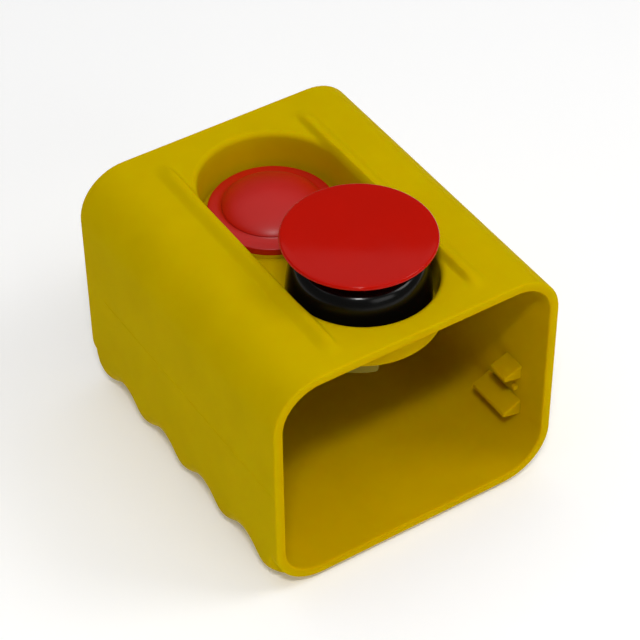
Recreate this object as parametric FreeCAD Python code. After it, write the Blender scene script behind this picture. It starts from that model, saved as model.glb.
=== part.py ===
"""Pendant control station: moulded grip housing with two push-button operators.

Frame: millimetres, +Z up.  The origin is the centre of the housing's footprint, at the
height of the lowest finger ridge.  The open mouth of the housing faces -Y, the closed
cable end faces +Y, and both operators stand on vertical axes in the top pocket.
"""
import FreeCAD
import Part

import math
import os

from FreeCAD import Vector

# Housing shell
WIDTH = 89.5
LENGTH = 102.0
HEIGHT = 75.9
WALL = 2.8
CORNER_RADIUS = 14.5
SHELL_BOTTOM = 2.4
HALF_WIDTH = WIDTH / 2
HALF_LENGTH = LENGTH / 2
CAVITY_FLOOR = SHELL_BOTTOM + WALL
CAVITY_TOP = HEIGHT - WALL

# Finger grip under the shell
GRIP_FRONT = -46.8
GRIP_BACK = 48.6
GRIP_CORNER_RADIUS = 10.1
GRIP_PITCH = 21.9
GRIP_CENTRE = 1.6
GROOVE_DEPTH = 2.0
GROOVE_RADIUS = 23.3
GROOVE_EXIT_ANGLE = 60.0

# Top pocket, with a raised seat under the rear operator
POCKET_FRONT_CENTRE = -23.6
POCKET_REAR_CENTRE = 21.5
POCKET_RIM_RADIUS = 20.9
POCKET_FLOOR_RADIUS = 20.4
POCKET_FLOOR = 62.8
TUB_WALL = 1.9
TUB_BOTTOM = POCKET_FLOOR - TUB_WALL
TUB_FILLET = 3.2
RIM_FILLET = 0.9
SEAT_RADIUS = 18.2
SEAT_TOP = 64.2
BEAD_X = 22.9
BEAD_RADIUS = 1.9
BEAD_RISE = 1.2
BEAD_FRONT = -43.5
BEAD_BACK = 41.0

# Fine raised parting line on both side walls
FLASH_RISE = 0.12
FLASH_FRONT = -49.8
FLASH_BACK = 41.0
FLASH_Z = 38.25

# Operators
FRONT_Y = -21.9
REAR_Y = 21.5
MOUNTING_HOLE_RADIUS = 15.1
BARREL_RADIUS = 14.9
BARREL_BOTTOM = 56.4
STEM_RADIUS = 6.0
SLIDING_GAP = 0.05
CAP_RADIUS = 20.95
CAP_EDGE_TOP = 87.4
CAP_EDGE_BOTTOM = 86.0
CAP_CROWN = 88.0
COLLAR_RADIUS = 19.7
BEZEL_RADIUS = 18.1
BUTTON_RADIUS = 14.0
BUTTON_CROWN = 72.5

# Contact blocks
BLOCK_HALF_X = 20.0
BLOCK_HALF_Y = 7.0
FRONT_BLOCK_HEIGHT = 8.0
REAR_BLOCK_HEIGHT = 10.3
BLOCK_ROOF = 1.5
BLOCK_FLOOR = 1.0
BLOCK_SCREW = (10.9, 5.45)
TERMINAL_X = 17.9
STRIP_THICKNESS = 0.8

# Cable end
CAP_PLATE_FRONT = 45.9
CAP_PLATE_BACK = 48.9
GASKET_THICKNESS = 1.0
BOSS_RADIUS = 4.2
BOSS_INSET = 3.4
INLET_Z = 37.0
INLET_RADIUS = 8.0
CABLE_RADIUS = 4.5

UP = Vector(0, 0, 1)
ALONG = Vector(0, 1, 0)


def save(name, shape):
    """Write one sub-part to its own STEP file."""
    shape.exportStep("parts/" + name + ".step")


def cylinder(radius, z_low, z_high, x=0.0, y=0.0):
    """Vertical cylinder between two heights."""
    return Part.makeCylinder(radius, z_high - z_low, Vector(x, y, z_low), UP)


def lying_cylinder(radius, y_low, y_high, x, z):
    """Cylinder along Y between two depths."""
    return Part.makeCylinder(radius, y_high - y_low, Vector(x, y_low, z), ALONG)


def ring(outer, inner, z_low, z_high, x=0.0, y=0.0):
    """Vertical tube between two heights."""
    bore = cylinder(inner, z_low - 1, z_high + 1, x, y)
    return cylinder(outer, z_low, z_high, x, y).cut(bore)


def block(x_low, x_high, y_low, y_high, z_low, z_high):
    """Box between its limits."""
    corner = Vector(x_low, y_low, z_low)
    return Part.makeBox(x_high - x_low, y_high - y_low, z_high - z_low, corner)


def turned(start, steps, y=0.0):
    """Solid of revolution about the vertical axis at depth y.

    The outline starts at one (radius, height) point.  A step is the next point, or a
    pair of points for an arc: one that it passes through, and its end.
    """
    here = Vector(start[0], y, start[1])
    first = here
    edges = []
    for step in steps:
        if isinstance(step[0], tuple):
            through = Vector(step[0][0], y, step[0][1])
            end = Vector(step[1][0], y, step[1][1])
            edges.append(Part.Arc(here, through, end).toShape())
        else:
            end = Vector(step[0], y, step[1])
            edges.append(Part.makeLine(here, end))
        here = end
    edges.append(Part.makeLine(here, first))
    face = Part.Face(Part.Wire(edges))
    return face.revolve(Vector(0, y, 0), UP, 360)


def rounded_outline(half_width, z_low, z_high, radius, y):
    """Closed rectangle with round corners, in the plane at depth y."""
    centres = [
        (half_width - radius, z_low + radius, -90),
        (half_width - radius, z_high - radius, 0),
        (-half_width + radius, z_high - radius, 90),
        (-half_width + radius, z_low + radius, 180),
    ]

    def point(centre, turn):
        angle = math.radians(centre[2] + turn)
        x = centre[0] + radius * math.cos(angle)
        z = centre[1] + radius * math.sin(angle)
        return Vector(x, y, z)

    edges = []
    for index, centre in enumerate(centres):
        arc = Part.Arc(point(centre, 0), point(centre, 45), point(centre, 90))
        edges.append(arc.toShape())
        following = centres[(index + 1) % 4]
        edges.append(Part.makeLine(point(centre, 90), point(following, 0)))
    return Part.Wire(edges)


def rounded_bar(half_width, z_low, z_high, radius, y_low, y_high):
    """Rounded rectangle carried along Y."""
    wire = rounded_outline(half_width, z_low, z_high, radius, y_low)
    return Part.Face(wire).extrude(Vector(0, y_high - y_low, 0))


def racetrack(radius, z):
    """Closed outline of the pocket: two half circles and two straight sides."""
    front = Vector(0, POCKET_FRONT_CENTRE, z)
    rear = Vector(0, POCKET_REAR_CENTRE, z)
    side = Vector(radius, 0, 0)
    tip = Vector(0, radius, 0)
    edges = [
        Part.makeLine(front + side, rear + side),
        Part.Arc(rear + side, rear + tip, rear - side).toShape(),
        Part.makeLine(rear - side, front - side),
        Part.Arc(front - side, front - tip, front + side).toShape(),
    ]
    return Part.Wire(edges)


def coil(mean_radius, wire_radius, z_low, z_high, turns, y):
    """Round-wire compression spring standing between two heights."""
    height = z_high - z_low - 2 * wire_radius
    helix = Part.makeLongHelix(height / turns, height, mean_radius)
    circle = Part.makeCircle(wire_radius, Vector(mean_radius, 0, 0), ALONG)
    spring = Part.Wire(helix).makePipeShell([Part.Wire(circle)], True, True)
    spring.translate(Vector(0, y, z_low + wire_radius))
    return spring


def o_ring(mean_radius, section_radius, z, y):
    """Rubber ring lying level."""
    return Part.makeTorus(mean_radius, section_radius, Vector(0, y, z), UP)


def groove_cutter(y):
    """Finger scoop: a thick rod that runs under the grip and up past both corners."""
    centre_x = HALF_WIDTH - GRIP_CORNER_RADIUS
    centre_z = GRIP_CORNER_RADIUS
    reach = GRIP_CORNER_RADIUS - GROOVE_DEPTH + GROOVE_RADIUS
    run_out = 18.0

    def on_bend(side, degrees):
        angle = math.radians(degrees)
        x = side * (centre_x + reach * math.sin(angle))
        return Vector(x, y, centre_z - reach * math.cos(angle))

    def past_bend(side):
        angle = math.radians(GROOVE_EXIT_ANGLE)
        direction = Vector(side * math.cos(angle), 0, math.sin(angle))
        return on_bend(side, GROOVE_EXIT_ANGLE) + direction * run_out

    def bend(side, turns):
        return Part.Arc(*[on_bend(side, turn) for turn in turns]).toShape()

    half_turn = GROOVE_EXIT_ANGLE / 2
    path = Part.Wire([
        Part.makeLine(past_bend(-1), on_bend(-1, GROOVE_EXIT_ANGLE)),
        bend(-1, (GROOVE_EXIT_ANGLE, half_turn, 0)),
        Part.makeLine(on_bend(-1, 0), on_bend(1, 0)),
        bend(1, (0, half_turn, GROOVE_EXIT_ANGLE)),
        Part.makeLine(on_bend(1, GROOVE_EXIT_ANGLE), past_bend(1)),
    ])
    heading = on_bend(-1, GROOVE_EXIT_ANGLE) - past_bend(-1)
    circle = Part.makeCircle(GROOVE_RADIUS, past_bend(-1), heading)
    return path.makePipeShell([Part.Wire(circle)], True, False)


def make_grip():
    """Ridged pad for the fingers: the ridges stay between the scoops."""
    grip = rounded_bar(HALF_WIDTH, 0, 40, GRIP_CORNER_RADIUS, GRIP_FRONT, GRIP_BACK)
    for step in range(-3, 3):
        grip = grip.cut(groove_cutter(GRIP_CENTRE + (step + 0.5) * GRIP_PITCH))
    return grip


def make_bead(side):
    """Straight raised bead beside the pocket, round at both ends."""
    x = side * BEAD_X
    z = HEIGHT + BEAD_RISE - BEAD_RADIUS
    bead = lying_cylinder(BEAD_RADIUS, BEAD_FRONT, BEAD_BACK, x, z)
    for y in (BEAD_FRONT, BEAD_BACK):
        bead = bead.fuse(Part.makeSphere(BEAD_RADIUS, Vector(x, y, z)))
    above_ceiling = block(x - 3, x + 3, BEAD_FRONT - 3, BEAD_BACK + 3, HEIGHT - 1, HEIGHT + 3)
    return bead.common(above_ceiling)


def make_rail(side, y_low, y_high, z_top, z_tip):
    """Guide block on a side wall; its top slopes down towards the tip."""
    root = HALF_WIDTH - WALL + 0.5
    tip = HALF_WIDTH - WALL - 5.6
    corners = [(root, z_top), (tip, z_tip), (tip, z_tip - 3.0), (root, z_tip - 5.0)]
    points = [Vector(side * x, y_low, z) for x, z in corners]
    wire = Part.makePolygon(points + points[:1])
    return Part.Face(wire).extrude(Vector(0, y_high - y_low, 0))


def boss_places():
    """(x, z) of the four end cap screws, inside the cavity's corners."""
    offset = (CORNER_RADIUS - WALL - BOSS_INSET) * math.sqrt(0.5)
    x = HALF_WIDTH - CORNER_RADIUS + offset
    low = SHELL_BOTTOM + CORNER_RADIUS - offset
    high = HEIGHT - CORNER_RADIUS + offset
    return [(side * x, z) for side in (-1, 1) for z in (low, high)]


def make_housing():
    """One-piece moulded housing, open at -Y, with the pocket hanging from its top."""
    shell = rounded_bar(HALF_WIDTH, SHELL_BOTTOM, HEIGHT, CORNER_RADIUS, -HALF_LENGTH, HALF_LENGTH)
    shell = shell.fuse(make_grip())
    cavity = rounded_bar(HALF_WIDTH - WALL, CAVITY_FLOOR, CAVITY_TOP, CORNER_RADIUS - WALL,
                         -HALF_LENGTH - 1, HALF_LENGTH + 1)
    shell = shell.cut(cavity)
    tub_face = Part.Face(racetrack(POCKET_FLOOR_RADIUS + TUB_WALL, TUB_BOTTOM))
    tub = tub_face.extrude(Vector(0, 0, HEIGHT - 0.5 - TUB_BOTTOM))
    foot = [edge for edge in tub.Edges if edge.BoundBox.ZMax < TUB_BOTTOM + 0.01]
    shell = shell.fuse(tub.makeFillet(TUB_FILLET, foot))
    slope = (POCKET_RIM_RADIUS - POCKET_FLOOR_RADIUS) / (HEIGHT - POCKET_FLOOR)
    top = HEIGHT + 4
    pocket_lines = [racetrack(POCKET_FLOOR_RADIUS, POCKET_FLOOR),
                    racetrack(POCKET_FLOOR_RADIUS + slope * (top - POCKET_FLOOR), top)]
    shell = shell.cut(Part.makeLoft(pocket_lines, True, True))
    rim = [edge for edge in shell.Edges if is_pocket_rim(edge)]
    shell = shell.makeFillet(RIM_FILLET, rim)
    shell = shell.fuse(cylinder(SEAT_RADIUS, POCKET_FLOOR - 0.5, SEAT_TOP, 0, REAR_Y))
    for side in (-1, 1):
        shell = shell.fuse(make_bead(side))
        shell = shell.fuse(make_rail(side, -40.5, -33.5, 33.2, 31.0))
        shell = shell.fuse(make_rail(side, -41.0, -26.0, 20.4, 17.6))
        nub = block(-0.9, 0.9, -39.4, -38.0, 23.0, 24.6)
        nub.translate(Vector(side * (HALF_WIDTH - WALL - 0.4), 0, 0))
        shell = shell.fuse(nub)
        flash = block(-0.3, FLASH_RISE, FLASH_FRONT, FLASH_BACK, FLASH_Z, FLASH_Z + 0.3)
        flash.translate(Vector(HALF_WIDTH, 0, 0))
        shell = shell.fuse(flash if side > 0 else flash.mirror(Vector(0, 0, 0), Vector(1, 0, 0)))
    for y in (FRONT_Y, REAR_Y):
        shell = shell.cut(cylinder(MOUNTING_HOLE_RADIUS, TUB_BOTTOM - 2, SEAT_TOP + 2, 0, y))
    boss_end = CAP_PLATE_FRONT - GASKET_THICKNESS
    for x, z in boss_places():
        shell = shell.fuse(lying_cylinder(BOSS_RADIUS, boss_end - 14, boss_end, x, z))
        shell = shell.cut(lying_cylinder(1.5, boss_end - 11, boss_end + 1, x, z))
    return shell.removeSplitter()


def is_pocket_rim(edge):
    """True for the edges where the pocket wall meets the flat top."""
    box = edge.BoundBox
    level = abs(box.ZMin - HEIGHT) < 1e-4 and abs(box.ZMax - HEIGHT) < 1e-4
    inside = max(abs(box.XMin), abs(box.XMax)) < POCKET_RIM_RADIUS + 0.5
    return level and inside


def make_end_cap():
    """Closing plate, set 2 mm into the back end, with the cable inlet."""
    edge_gap = 0.15
    half_width = HALF_WIDTH - WALL - edge_gap
    plate = rounded_bar(half_width, CAVITY_FLOOR + edge_gap, CAVITY_TOP - edge_gap,
                        CORNER_RADIUS - WALL - edge_gap, CAP_PLATE_FRONT, CAP_PLATE_BACK)
    rim = rounded_bar(half_width - 5, CAVITY_FLOOR + 5, CAVITY_TOP - 16, 6.7,
                      CAP_PLATE_BACK - 1, CAP_PLATE_BACK + 1)
    plate = plate.cut(rim)
    boss = lying_cylinder(INLET_RADIUS + 3, CAP_PLATE_BACK - 1.5, CAP_PLATE_BACK, 0, INLET_Z)
    plate = plate.fuse(boss)
    plate = plate.cut(lying_cylinder(INLET_RADIUS, CAP_PLATE_FRONT - 1, 52, 0, INLET_Z))
    for x, z in boss_places():
        plate = plate.cut(lying_cylinder(1.7, CAP_PLATE_FRONT - 1, 52, x, z))
    return plate.removeSplitter()


def make_end_cap_gasket():
    """Flat rubber frame between the end cap and the housing's screw bosses."""
    y_low = CAP_PLATE_FRONT - GASKET_THICKNESS
    gap = 0.2
    outer = rounded_bar(HALF_WIDTH - WALL - gap, CAVITY_FLOOR + gap, CAVITY_TOP - gap,
                        CORNER_RADIUS - WALL - gap, y_low, CAP_PLATE_FRONT)
    width = 4.0
    window = rounded_bar(HALF_WIDTH - WALL - width, CAVITY_FLOOR + width, CAVITY_TOP - width,
                         CORNER_RADIUS - WALL - width, y_low - 1, CAP_PLATE_FRONT + 1)
    frame = outer.cut(window)
    for x, z in boss_places():
        tab = lying_cylinder(BOSS_RADIUS, y_low, CAP_PLATE_FRONT, x, z)
        frame = frame.fuse(tab.common(outer))
        frame = frame.cut(lying_cylinder(1.7, y_low - 1, CAP_PLATE_FRONT + 1, x, z))
    return frame.removeSplitter()


def make_end_cap_screw(x, z):
    """Pan-head self-tapping screw with a cross recess."""
    head = lying_cylinder(3.0, CAP_PLATE_BACK, CAP_PLATE_BACK + 1.9, x, z)
    head_edge = [edge for edge in head.Edges if abs(edge.BoundBox.YMin - CAP_PLATE_BACK - 1.9) < 1e-4]
    head = head.makeFillet(0.8, head_edge[:1])
    recess_floor = CAP_PLATE_BACK + 0.7
    head = head.cut(block(x - 1.7, x + 1.7, recess_floor, 52, z - 0.35, z + 0.35))
    head = head.cut(block(x - 0.35, x + 0.35, recess_floor, 52, z - 1.7, z + 1.7))
    return head.fuse(lying_cylinder(1.45, CAP_PLATE_FRONT - 10, CAP_PLATE_BACK, x, z))


def make_grommet():
    """Rubber cable grommet: two flanges grip the end cap."""
    bore_gap = 0.05
    flange = INLET_RADIUS + 2
    front = CAP_PLATE_FRONT - bore_gap
    back = CAP_PLATE_BACK + bore_gap
    grommet = lying_cylinder(INLET_RADIUS - bore_gap, front - 1.8, back + 1.8, 0, INLET_Z)
    grommet = grommet.fuse(lying_cylinder(flange, front - 1.8, front, 0, INLET_Z))
    grommet = grommet.fuse(lying_cylinder(flange, back, back + 1.8, 0, INLET_Z))
    return grommet.cut(lying_cylinder(CABLE_RADIUS, 40, 52, 0, INLET_Z))


def make_lock_nut(y):
    """Ring nut under the pocket floor, with four wide lugs for a spanner."""
    z_low = BARREL_BOTTOM
    nut = cylinder(17.6, z_low, TUB_BOTTOM, 0, y)
    for turn in range(4):
        angle = 50.5 + 90 * turn
        lug = Part.makeCylinder(19.7, TUB_BOTTOM - z_low, Vector(0, y, z_low), UP, 45)
        lug.rotate(Vector(0, y, 0), UP, angle - 22.5)
        nut = nut.fuse(lug)
    nut = nut.cut(cylinder(BARREL_RADIUS + 0.1, z_low - 1, TUB_BOTTOM + 1, 0, y))
    return nut.removeSplitter()


def block_screw_places(y):
    """(x, y) of the two screws that hold a contact block to its operator."""
    return [(side * BLOCK_SCREW[0], y + side * BLOCK_SCREW[1]) for side in (-1, 1)]


def make_front_body():
    """Front operator body: flange, mounting barrel and guide neck in one piece."""
    body = turned((BARREL_RADIUS, BARREL_BOTTOM), [
        (BARREL_RADIUS, 63.6), (19.6, 63.6), (19.6, 65.6), (11.0, 65.6), (11.0, 79.0),
        (9.2, 79.0), (9.2, 70.1), (STEM_RADIUS + SLIDING_GAP, 70.1),
        (STEM_RADIUS + SLIDING_GAP, 68.1), (8.15, 68.1), (8.15, 65.9),
        (STEM_RADIUS + SLIDING_GAP, 65.9), (STEM_RADIUS + SLIDING_GAP, 62.0),
        (9.5, 62.0), (9.5, BARREL_BOTTOM),
    ], FRONT_Y)
    for x, y in block_screw_places(FRONT_Y):
        body = body.cut(cylinder(1.25, BARREL_BOTTOM - 1, 60.9, x, y))
    return body


def make_front_collar():
    """Glossy skirt round the neck of the front operator."""
    return turned((COLLAR_RADIUS, 65.7), [
        ((COLLAR_RADIUS - 0.35, 72.5), (18.3, 77.6)),
        ((17.3, 79.9), (15.0, 80.9)),
        (10.0, 80.9), (10.0, 79.1), (14.6, 79.1),
        ((16.0, 78.3), (16.6, 76.9)),
        (17.9, 65.7),
    ], FRONT_Y)


def make_mushroom_cap():
    """Wide head: slightly domed disc with a hub that takes the stem."""
    edge_radius = (CAP_EDGE_TOP - CAP_EDGE_BOTTOM) / 2
    middle = CAP_EDGE_BOTTOM + edge_radius
    flat = CAP_RADIUS - edge_radius
    return turned((0, CAP_CROWN), [
        ((flat / 2, CAP_CROWN - 0.2), (flat, CAP_EDGE_TOP)),
        ((CAP_RADIUS, middle), (flat, CAP_EDGE_BOTTOM)),
        (8.8, CAP_EDGE_BOTTOM), (8.8, 82.2), (4.45, 82.2), (4.45, 85.8), (0, 85.8),
    ], FRONT_Y)


def make_front_stem():
    """Front stem, with its clip groove near the bottom."""
    return turned((0, 60.2), [
        (STEM_RADIUS, 60.2), (STEM_RADIUS, 60.7), (5.0, 60.7), (5.0, 61.9),
        (STEM_RADIUS, 61.9), (STEM_RADIUS, 82.2), (4.4, 82.2), (4.4, 85.7), (0, 85.7),
    ], FRONT_Y)


def make_rear_body():
    """Rear operator body: thin flange, barrel, spring well and guide bore."""
    body = turned((BARREL_RADIUS, BARREL_BOTTOM), [
        (BARREL_RADIUS, 64.7), (17.6, 64.7), (17.6, 65.4), (14.3, 65.4), (14.3, 64.2),
        (12.2, 64.2), (12.2, 60.6), (9.6, 60.6), (9.6, 64.2),
        (STEM_RADIUS + SLIDING_GAP, 64.2), (STEM_RADIUS + SLIDING_GAP, 63.6),
        (8.15, 63.6), (8.15, 61.4), (STEM_RADIUS + SLIDING_GAP, 61.4),
        (STEM_RADIUS + SLIDING_GAP, 59.6), (9.5, 59.6), (9.5, BARREL_BOTTOM),
    ], REAR_Y)
    for x, y in block_screw_places(REAR_Y):
        body = body.cut(cylinder(1.25, BARREL_BOTTOM - 1, 60.1, x, y))
    return body


def make_rear_bezel():
    """Flanged ring that covers the rear operator's flange; its top sweeps up to the button."""
    bore = BUTTON_RADIUS + 0.3
    return turned((BEZEL_RADIUS, SEAT_TOP), [
        (BEZEL_RADIUS, 65.7),
        ((17.9, 66.2), (17.4, 66.4)),
        (16.6, 66.4),
        ((15.2, 66.65), (bore, 67.3)),
        (bore, 65.5), (17.7, 65.5), (17.7, SEAT_TOP),
    ], REAR_Y)


def make_rear_button():
    """Domed button with a socket for its stem."""
    return turned((0, BUTTON_CROWN), [
        ((8.2, 71.1), (BUTTON_RADIUS, 67.5)),
        (BUTTON_RADIUS, 66.9), (4.45, 66.9), (4.45, 69.6), (0, 69.6),
    ], REAR_Y)


def make_rear_stem():
    """Rear stem, with its clip groove near the bottom."""
    return turned((0, 58.0), [
        (STEM_RADIUS, 58.0), (STEM_RADIUS, 58.3), (5.0, 58.3), (5.0, 59.5),
        (STEM_RADIUS, 59.5), (STEM_RADIUS, 66.9), (4.4, 66.9), (4.4, 69.5), (0, 69.5),
    ], REAR_Y)


def make_clip(z_low, y):
    """Retaining clip: flat ring, open on one side."""
    clip = ring(8.6, 5.05, z_low, z_low + 1.0, 0, y)
    return clip.cut(block(3, 9, y - 2, y + 2, z_low - 1, z_low + 2))


def make_contact_block(y, z_low, z_top, strip_z):
    """Switch case: bridge chamber, strip slots, terminal wells and screw holes."""
    case = block(-BLOCK_HALF_X, BLOCK_HALF_X, y - BLOCK_HALF_Y, y + BLOCK_HALF_Y, z_low, z_top)
    uprights = [edge for edge in case.Edges if edge.BoundBox.ZLength > z_top - z_low - 0.01]
    case = case.makeFillet(1.5, uprights)
    chamber = block(-14.6, 14.6, y - 3.6, y + 3.6, z_low + BLOCK_FLOOR, z_top - BLOCK_ROOF)
    case = case.cut(chamber)
    case = case.cut(cylinder(2.5, z_top - BLOCK_ROOF - 1, z_top + 1, 0, y))
    for side in (-1, 1):
        slot = block(7, 19.6, y - 2.6, y + 2.6, strip_z - 0.05, strip_z + STRIP_THICKNESS + 0.05)
        well = block(16.2, 19.6, y - 2.6, y + 2.6, z_low - 1, strip_z)
        thread = cylinder(0.85, strip_z, strip_z + 2.6, TERMINAL_X, y)
        for cutter in (slot, well, thread):
            if side < 0:
                cutter.rotate(Vector(0, y, 0), UP, 180)
            case = case.cut(cutter)
    for x, screw_y in block_screw_places(y):
        case = case.cut(cylinder(1.3, z_low - 1, z_top + 1, x, screw_y))
        case = case.cut(cylinder(1.5, z_low - 1, z_low + 1.2, x, screw_y))
    return case


def make_fixed_contacts(y, strip_z):
    """Two brass strips that run out of the chamber to the terminals."""
    strips = []
    for side in (-1, 1):
        strip = block(8.0, 19.3, y - 2.4, y + 2.4, strip_z, strip_z + STRIP_THICKNESS)
        strip = strip.cut(cylinder(0.85, strip_z - 1, strip_z + 2, TERMINAL_X, y))
        if side < 0:
            strip.rotate(Vector(0, y, 0), UP, 180)
        strips.append(strip)
    return strips


def make_bridge(y, z_low):
    """Moving brass bridge, threaded on the contact plunger."""
    bridge = block(-12, 12, y - 2.9, y + 2.9, z_low, z_low + STRIP_THICKNESS)
    return bridge.cut(cylinder(2.35, z_low - 1, z_low + 2, 0, y))


def make_terminal_screws(y, strip_z):
    """Cheese-head screws that clamp the wires from below."""
    screws = []
    for side in (-1, 1):
        x = side * TERMINAL_X
        screw = cylinder(1.5, strip_z - 1.5, strip_z - 0.05, x, y)
        screw = screw.cut(block(x - 2, x + 2, y - 0.25, y + 0.25, strip_z - 2, strip_z - 0.9))
        screws.append(screw.fuse(cylinder(0.8, strip_z - 0.05, strip_z + 2.4, x, y)))
    return screws


def make_block_screws(y, z_low, z_end):
    """Long screws through a contact block into its operator body."""
    screws = []
    for x, screw_y in block_screw_places(y):
        screw = cylinder(1.45, z_low, z_low + 1.15, x, screw_y)
        screw = screw.cut(block(x - 2, x + 2, screw_y - 0.25, screw_y + 0.25, z_low - 1, z_low + 0.6))
        screws.append(screw.fuse(cylinder(1.2, z_low + 1.15, z_end, x, screw_y)))
    return screws


def main():
    """Build every sub-part and write its file."""
    os.makedirs("parts", exist_ok=True)
    front_block_top = 55.9
    rear_block_top = 55.0
    front_block_low = front_block_top - FRONT_BLOCK_HEIGHT
    rear_block_low = rear_block_top - REAR_BLOCK_HEIGHT
    front_strip = 53.45
    rear_strip = 48.2
    front_bridge_z = 52.6
    rear_bridge_z = 51.6

    save("housing", make_housing())
    save("end_cap", make_end_cap())
    save("end_cap_gasket", make_end_cap_gasket())
    save("end_cap_screws", Part.makeCompound([make_end_cap_screw(x, z) for x, z in boss_places()]))
    save("cable_grommet", make_grommet())
    save("lock_nuts", Part.makeCompound([make_lock_nut(FRONT_Y), make_lock_nut(REAR_Y)]))

    save("front_gasket", ring(19.2, 15.3, POCKET_FLOOR, 63.6, 0, FRONT_Y))
    save("front_operator_body", make_front_body())
    save("front_collar", make_front_collar())
    save("front_stem_seal", o_ring(7.1, 1.0, 67.0, FRONT_Y))
    save("mushroom_cap", make_mushroom_cap())
    save("front_stem", make_front_stem())
    save("front_clip", make_clip(60.8, FRONT_Y))
    save("front_return_spring", coil(7.7, 0.6, 70.15, 82.15, 5, FRONT_Y))

    save("rear_gasket", ring(17.4, 15.3, SEAT_TOP, 64.7, 0, REAR_Y))
    save("rear_operator_body", make_rear_body())
    save("rear_bezel", make_rear_bezel())
    save("rear_stem_seal", o_ring(7.1, 1.0, 62.5, REAR_Y))
    save("domed_button", make_rear_button())
    save("rear_stem", make_rear_stem())
    save("rear_clip", make_clip(58.4, REAR_Y))
    save("rear_return_spring", coil(10.9, 0.5, 60.65, 66.85, 4, REAR_Y))

    save("front_contact_block", make_contact_block(FRONT_Y, front_block_low, front_block_top, front_strip))
    save("front_fixed_contacts", Part.makeCompound(make_fixed_contacts(FRONT_Y, front_strip)))
    save("front_contact_bridge", make_bridge(FRONT_Y, front_bridge_z))
    save("front_contact_plunger", cylinder(2.3, 52.5, 60.2, 0, FRONT_Y))
    save("rear_contact_block", make_contact_block(REAR_Y, rear_block_low, rear_block_top, rear_strip))
    save("rear_fixed_contacts", Part.makeCompound(make_fixed_contacts(REAR_Y, rear_strip)))
    save("rear_contact_bridge", make_bridge(REAR_Y, rear_bridge_z))
    save("rear_contact_plunger", cylinder(2.3, 50.6, 58.0, 0, REAR_Y))

    terminals = make_terminal_screws(FRONT_Y, front_strip) + make_terminal_screws(REAR_Y, rear_strip)
    save("terminal_screws", Part.makeCompound(terminals))
    long_screws = make_block_screws(FRONT_Y, front_block_low, 60.6)
    long_screws += make_block_screws(REAR_Y, rear_block_low, 59.9)
    save("contact_block_screws", Part.makeCompound(long_screws))


main()
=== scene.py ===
"""Visual model of a pendant control station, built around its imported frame.

Metres, +Z up.  The open mouth of the grip housing faces -Y and both push buttons stand on
vertical axes in the racetrack pocket on top.
"""

import math

import bmesh
import bpy
import numpy as np
from bpy.props import FloatProperty, FloatVectorProperty, IntProperty, PointerProperty
from mathutils import Matrix, Vector


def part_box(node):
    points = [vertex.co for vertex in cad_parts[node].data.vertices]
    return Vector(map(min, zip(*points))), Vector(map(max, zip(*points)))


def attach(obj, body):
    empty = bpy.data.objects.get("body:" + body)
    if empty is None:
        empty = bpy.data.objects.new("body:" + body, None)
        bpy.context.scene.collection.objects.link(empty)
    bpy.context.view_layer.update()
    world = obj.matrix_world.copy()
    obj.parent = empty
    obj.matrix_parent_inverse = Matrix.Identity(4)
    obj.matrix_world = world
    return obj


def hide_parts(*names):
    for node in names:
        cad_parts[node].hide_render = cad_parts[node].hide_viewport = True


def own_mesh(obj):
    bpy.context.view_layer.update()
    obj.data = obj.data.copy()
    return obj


bl_info = {
    "name": "Pendant Control Station",
    "version": (1, 0, 0),
    "blender": (4, 5, 0),
    "location": "View3D > Sidebar > Pendant Station",
    "description": "Builds a grip housing with two push-button operators and its studio",
    "category": "Object",
}

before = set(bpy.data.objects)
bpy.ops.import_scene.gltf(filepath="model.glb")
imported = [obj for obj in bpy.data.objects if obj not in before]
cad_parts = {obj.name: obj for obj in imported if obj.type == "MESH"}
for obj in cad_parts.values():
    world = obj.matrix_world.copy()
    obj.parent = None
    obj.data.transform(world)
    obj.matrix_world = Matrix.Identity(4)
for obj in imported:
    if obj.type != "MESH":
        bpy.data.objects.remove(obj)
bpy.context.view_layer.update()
MM = 0.001

HOUSING_LOW, HOUSING_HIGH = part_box("housing")
CAP_LOW, CAP_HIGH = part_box("mushroom_cap")
COLLAR_LOW, COLLAR_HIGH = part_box("front_collar")
FRONT_BODY_LOW, FRONT_BODY_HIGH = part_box("front_operator_body")
REAR_BODY_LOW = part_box("rear_operator_body")[0]
BEZEL_LOW, BEZEL_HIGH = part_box("rear_bezel")
BUTTON_LOW, BUTTON_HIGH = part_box("domed_button")
NUTS_LOW, NUTS_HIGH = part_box("lock_nuts")
PLATE_LOW, PLATE_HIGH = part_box("end_cap")
GROMMET_LOW, GROMMET_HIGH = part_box("cable_grommet")
SCREWS_LOW, SCREWS_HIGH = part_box("end_cap_screws")

FRONT_Y = (CAP_LOW.y + CAP_HIGH.y) / 2
REAR_Y = (BUTTON_LOW.y + BUTTON_HIGH.y) / 2
HALF_LENGTH = HOUSING_HIGH.y

# Parting line: height of the bead over the housing's underside, and how far it stands out
PARTING_HEIGHT = 38.4 * MM
PARTING_RISE = 0.12 * MM

# Guide blocks: front and back ends, and the top's height at the wall and at the tip
GUIDE_BLOCKS = [(-40.5 * MM, -33.5 * MM, 33.2 * MM, 31.0 * MM),
                (-41.0 * MM, -26.0 * MM, 20.4 * MM, 17.6 * MM)]
GUIDE_REACH = 5.6 * MM

# Screw bosses at the cable end
BOSS_LENGTH = 14 * MM
BOSS_RADIUS = 4.2 * MM
SCREW_HOLE_DEPTH = 11 * MM
SCREW_HOLE_RADIUS = 1.5 * MM
SCREW_HEAD_RADIUS = 3.0 * MM

SWEEP = 128


# ---------------------------------------------------------------- sizes and colours

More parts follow.
